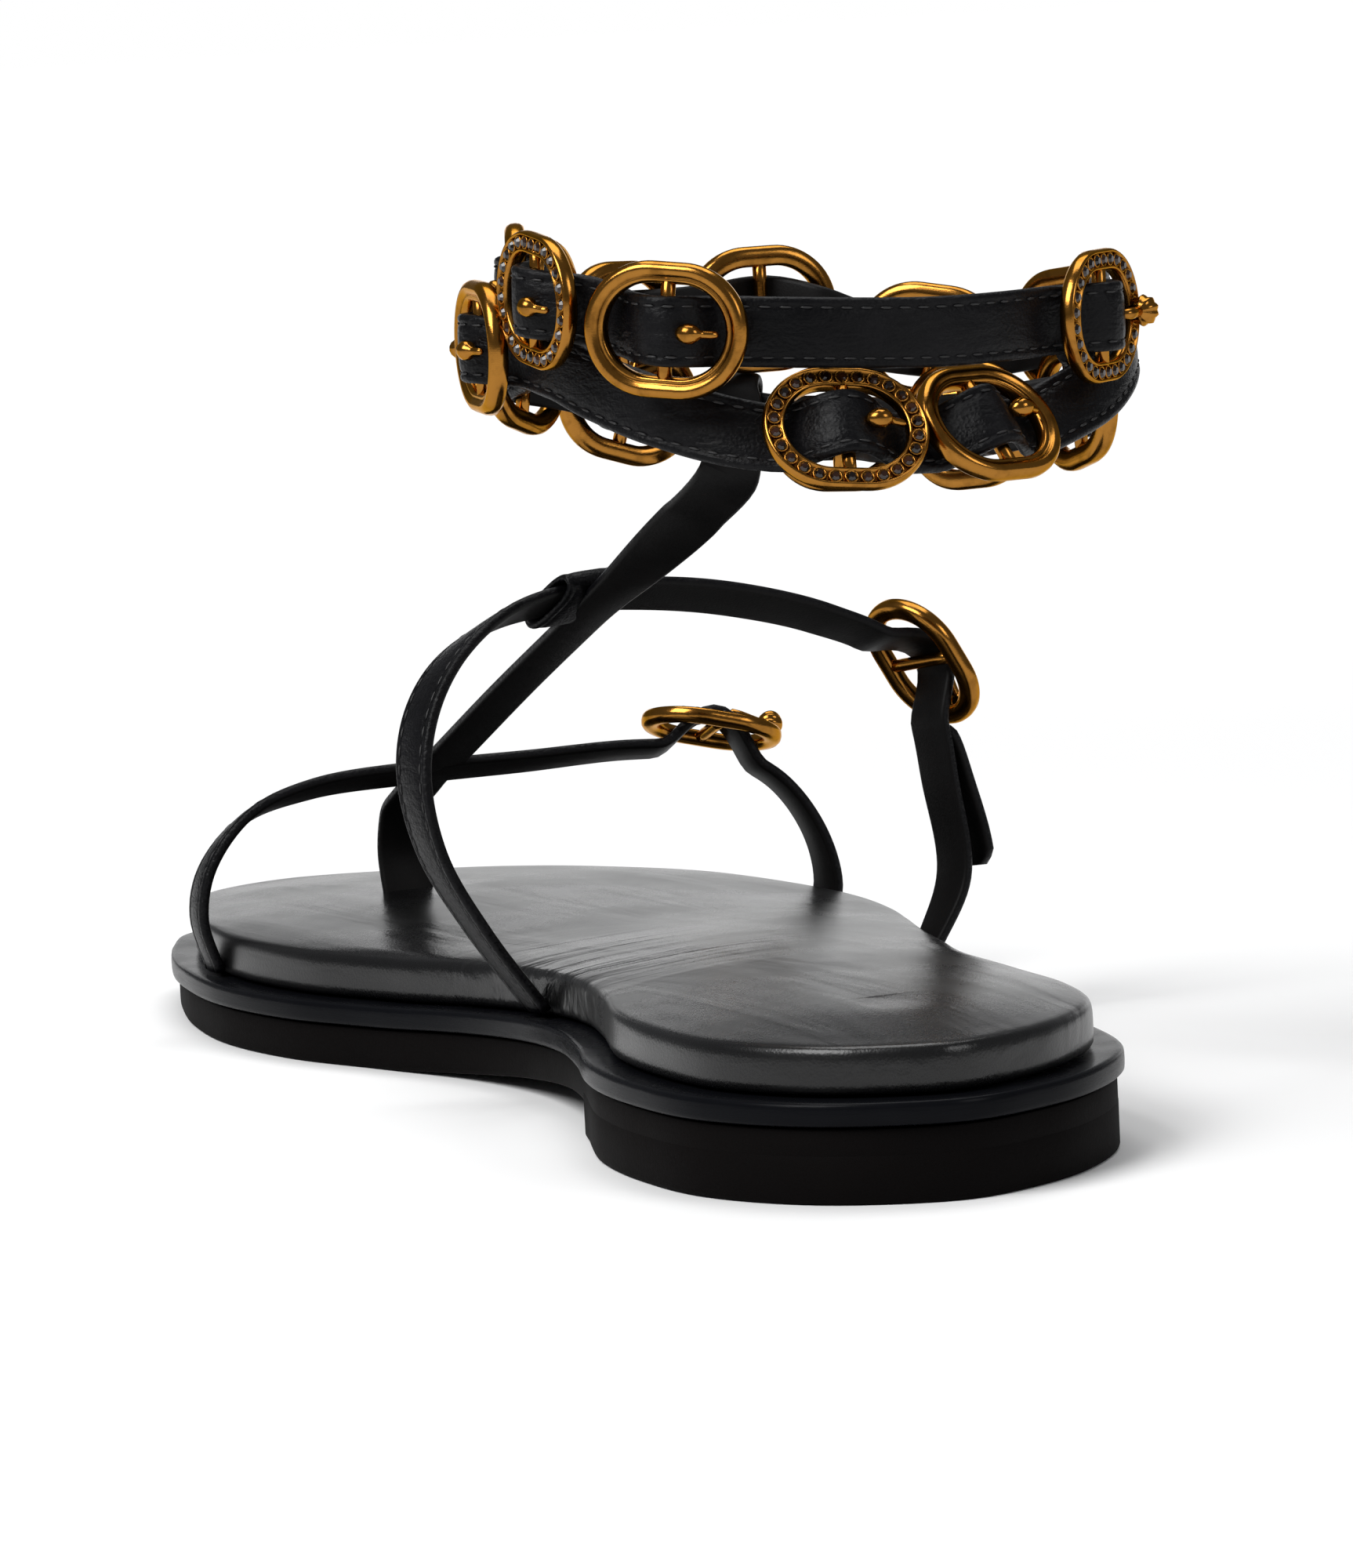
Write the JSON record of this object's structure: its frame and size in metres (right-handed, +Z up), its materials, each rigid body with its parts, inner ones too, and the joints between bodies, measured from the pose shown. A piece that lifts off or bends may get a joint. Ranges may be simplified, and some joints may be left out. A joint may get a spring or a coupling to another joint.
{
  "type": "gladiator sandal",
  "caption": "Flat gladiator sandal with toe post, thin straps and a double ankle strap threaded through ring buckles.",
  "frame": {"origin": "middle of the heel's tread on the floor", "axes": "+Z up from the sole, +Y along the sole towards the toe, +X towards the outer side of a right shoe"},
  "size_m": [0.1111, 0.2524, 0.1188],
  "materials": {
    "outsole_rubber": "matte moulded rubber",
    "welt_band": "polished edge",
    "footbed_leather": "smooth padded leather",
    "strap_leather": "smooth stitched leather",
    "ring_metal": "polished antique gold plating"
  },
  "bodies": {
    "root": {"outsole": "outsole_rubber", "midsole_band": "welt_band", "footbed": "footbed_leather", "upper_straps": "strap_leather", "ankle_strap": "strap_leather", "ring_toe": "ring_metal", "ring_instep": "ring_metal", "ring_low_1": "ring_metal", "ring_low_2": "ring_metal", "ring_low_3": "ring_metal", "ring_low_4": "ring_metal", "ring_low_5": "ring_metal", "ring_low_6": "ring_metal", "ring_low_7": "ring_metal", "ring_back_1": "ring_metal", "ring_back_2": "ring_metal", "ring_high_1": "ring_metal", "ring_high_2": "ring_metal", "ring_high_3": "ring_metal", "ring_high_4": "ring_metal", "ring_high_5": "ring_metal", "ring_high_6": "ring_metal", "ring_high_7": "ring_metal", "ring_high_8": "ring_metal", "ring_closing": "ring_metal"}
  },
  "joints": []
}
